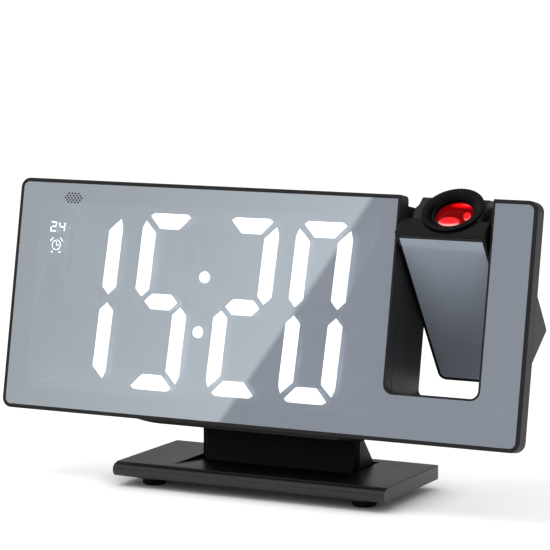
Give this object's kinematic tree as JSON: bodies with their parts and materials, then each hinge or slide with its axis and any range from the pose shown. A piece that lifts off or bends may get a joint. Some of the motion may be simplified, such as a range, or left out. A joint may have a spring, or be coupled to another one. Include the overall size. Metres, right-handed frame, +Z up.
{
  "type": "projection alarm clock",
  "caption": "Wide mirror-faced digital alarm clock with lit segments, leaning on a wedge neck and flat base, with a projector arm hinged in a slot and its lens aimed upward.",
  "frame": {"origin": "on the ground, under the middle of the whole object's bounding box as it stands with its arm out", "axes": "+X to the right seen from the front, +Y towards the back (the mirror face looks towards -Y), +Z up"},
  "size_m": [0.19, 0.069, 0.1029],
  "materials": {
    "frame_plastic": "satin moulded",
    "housing_plastic": "fine matt texture",
    "base_plastic": "fine satin texture",
    "mirror_glass": "half-silvered, tinted grey",
    "white_diffuser": "lit from behind",
    "dark_diffuser": "unlit, smoked",
    "black_reflector": "matt",
    "circuit_board": "solder mask",
    "black_parts": "moulded",
    "chip_white": "moulded",
    "cable_plastic": "flexible",
    "steel": "zinc plated",
    "nickel": "plated",
    "brass_contact": "plain",
    "aluminium_part": "anodised",
    "lens_glass": "clear, lit red from behind",
    "clear_glass": "clear",
    "foot_rubber": "matt",
    "button_plastic": "fine texture"
  },
  "bodies": {
    "clock": {"front_bezel": "frame_plastic", "mirror_panel": "mirror_glass", "segment_reflector": "black_reflector", "lit_segments": "white_diffuser", "unlit_segments": "dark_diffuser", "indicator_lights": "white_diffuser", "display_board": "circuit_board", "display_chips": "chip_white", "main_board": "circuit_board", "board_chips": "black_parts", "board_headers": "black_parts", "ribbon_cable": "cable_plastic", "tact_switches": "black_parts", "slider_switch": "black_parts", "rear_housing": "housing_plastic", "cell_holder": "black_parts", "cell_contact": "brass_contact", "coin_cell": "nickel", "speaker": "black_parts", "charge_outlet": "nickel", "outlet_tongue": "black_parts", "power_inlet": "black_parts", "inlet_pin": "nickel", "board_cable": "cable_plastic", "long_screws": "steel", "short_screws": "steel", "stand_neck": "base_plastic", "base_cover": "base_plastic", "base_bottom": "housing_plastic", "ballast_plates": "steel", "rubber_feet": "foot_rubber"},
    "projector_arm": {"arm_front_cover": "frame_plastic", "arm_mirror": "mirror_glass", "arm_rear_housing": "housing_plastic", "arm_screws": "steel", "arm_switch": "brass_contact", "hinge_tube": "steel", "hinge_pin": "steel", "hinge_washers": "steel", "hinge_clips": "steel", "arm_cable": "cable_plastic", "lens_tube": "black_parts", "light_box": "black_parts", "lcd_slide": "clear_glass", "condenser_lens": "clear_glass", "projector_led": "chip_white", "led_board": "circuit_board", "heat_sink": "aluminium_part"},
    "focus_ring": {"focus_ring": "frame_plastic"},
    "lens_barrel": {"lens_barrel": "black_parts", "projection_lens": "lens_glass", "lens_retainer": "black_parts"},
    "projector_button": {"projector_button": "button_plastic"},
    "snooze_bar": {"snooze_bar": "button_plastic"},
    "set_button": {"set_button": "button_plastic"},
    "up_button": {"up_button": "button_plastic"},
    "down_button": {"down_button": "button_plastic"},
    "alarm_button": {"alarm_button": "button_plastic"},
    "brightness_knob": {"brightness_knob": "button_plastic"},
    "battery_lid": {"battery_lid": "housing_plastic"}
  },
  "joints": [
    {"name": "arm_hinge", "type": "hinge", "parent": "clock", "child": "projector_arm", "pos_m": [0.0638, -0.00442, 0.0886], "axis": [1, 0, 0], "range_deg": [-46.3, 133.7]},
    {"name": "focus_turn", "type": "hinge", "parent": "projector_arm", "child": "focus_ring", "pos_m": [0.065, -0.01486, 0.09621], "axis": [0, -0.5793, 0.8151], "range_deg": [-90, 90]},
    {"name": "lens_travel", "type": "slide", "parent": "projector_arm", "child": "lens_barrel", "axis": [0, -0.5793, 0.8151], "range_m": [-0.0015, 0.0015]},
    {"name": "projector_button_press", "type": "slide", "parent": "projector_arm", "child": "projector_button", "axis": [0, -0.8151, -0.5793], "range_m": [0, 0.0008], "stiffness_N_per_m": 700, "springref_m": -0.0006},
    {"name": "snooze_bar_press", "type": "slide", "parent": "clock", "child": "snooze_bar", "axis": [0, -0.1891, -0.982], "range_m": [0, 0.0008], "stiffness_N_per_m": 900, "springref_m": -0.0006},
    {"name": "set_button_press", "type": "slide", "parent": "clock", "child": "set_button", "axis": [0, -0.982, 0.1891], "range_m": [0, 0.0008], "stiffness_N_per_m": 700, "springref_m": -0.0006},
    {"name": "up_button_press", "type": "slide", "parent": "clock", "child": "up_button", "axis": [0, -0.982, 0.1891], "range_m": [0, 0.0008], "stiffness_N_per_m": 700, "springref_m": -0.0006},
    {"name": "down_button_press", "type": "slide", "parent": "clock", "child": "down_button", "axis": [0, -0.982, 0.1891], "range_m": [0, 0.0008], "stiffness_N_per_m": 700, "springref_m": -0.0006},
    {"name": "alarm_button_press", "type": "slide", "parent": "clock", "child": "alarm_button", "axis": [0, -0.982, 0.1891], "range_m": [0, 0.0008], "stiffness_N_per_m": 700, "springref_m": -0.0006},
    {"name": "brightness_slide", "type": "slide", "parent": "clock", "child": "brightness_knob", "axis": [1, 0, 0], "range_m": [-0.002, 0.002]},
    {"name": "lid_turn", "type": "hinge", "parent": "clock", "child": "battery_lid", "pos_m": [-0.042, 0.00133, 0.05129], "axis": [0, 0.982, -0.1891], "range_deg": [0, 45]}
  ],
  "couplings": [
    {"joint": "focus_turn", "follows": "lens_travel", "rad_per_m": 1047.2}
  ]
}
